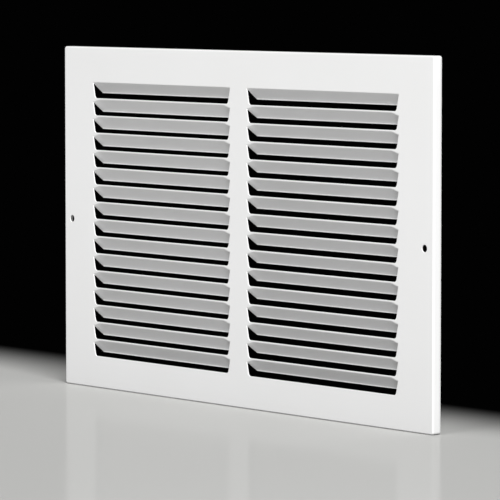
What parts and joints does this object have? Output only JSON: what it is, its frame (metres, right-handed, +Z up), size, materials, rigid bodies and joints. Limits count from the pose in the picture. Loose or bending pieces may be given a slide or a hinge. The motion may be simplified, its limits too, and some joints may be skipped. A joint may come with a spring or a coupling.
{
  "type": "return air vent cover",
  "caption": "Flat pressed steel return air vent cover with two side-by-side banks of downward louvres, a folded rim and a screw hole in each side margin.",
  "frame": {"origin": "in the face plane, midway between the two screw holes, which is 1.9 mm below the middle of the face", "axes": "+X to the right seen from the front, +Y away from the viewer into the wall, +Z up"},
  "size_m": [0.4, 0.0068, 0.2476],
  "materials": {
    "painted_steel": "satin white powder coat"
  },
  "bodies": {
    "root": {"louvred_cover": "painted_steel"}
  },
  "joints": []
}
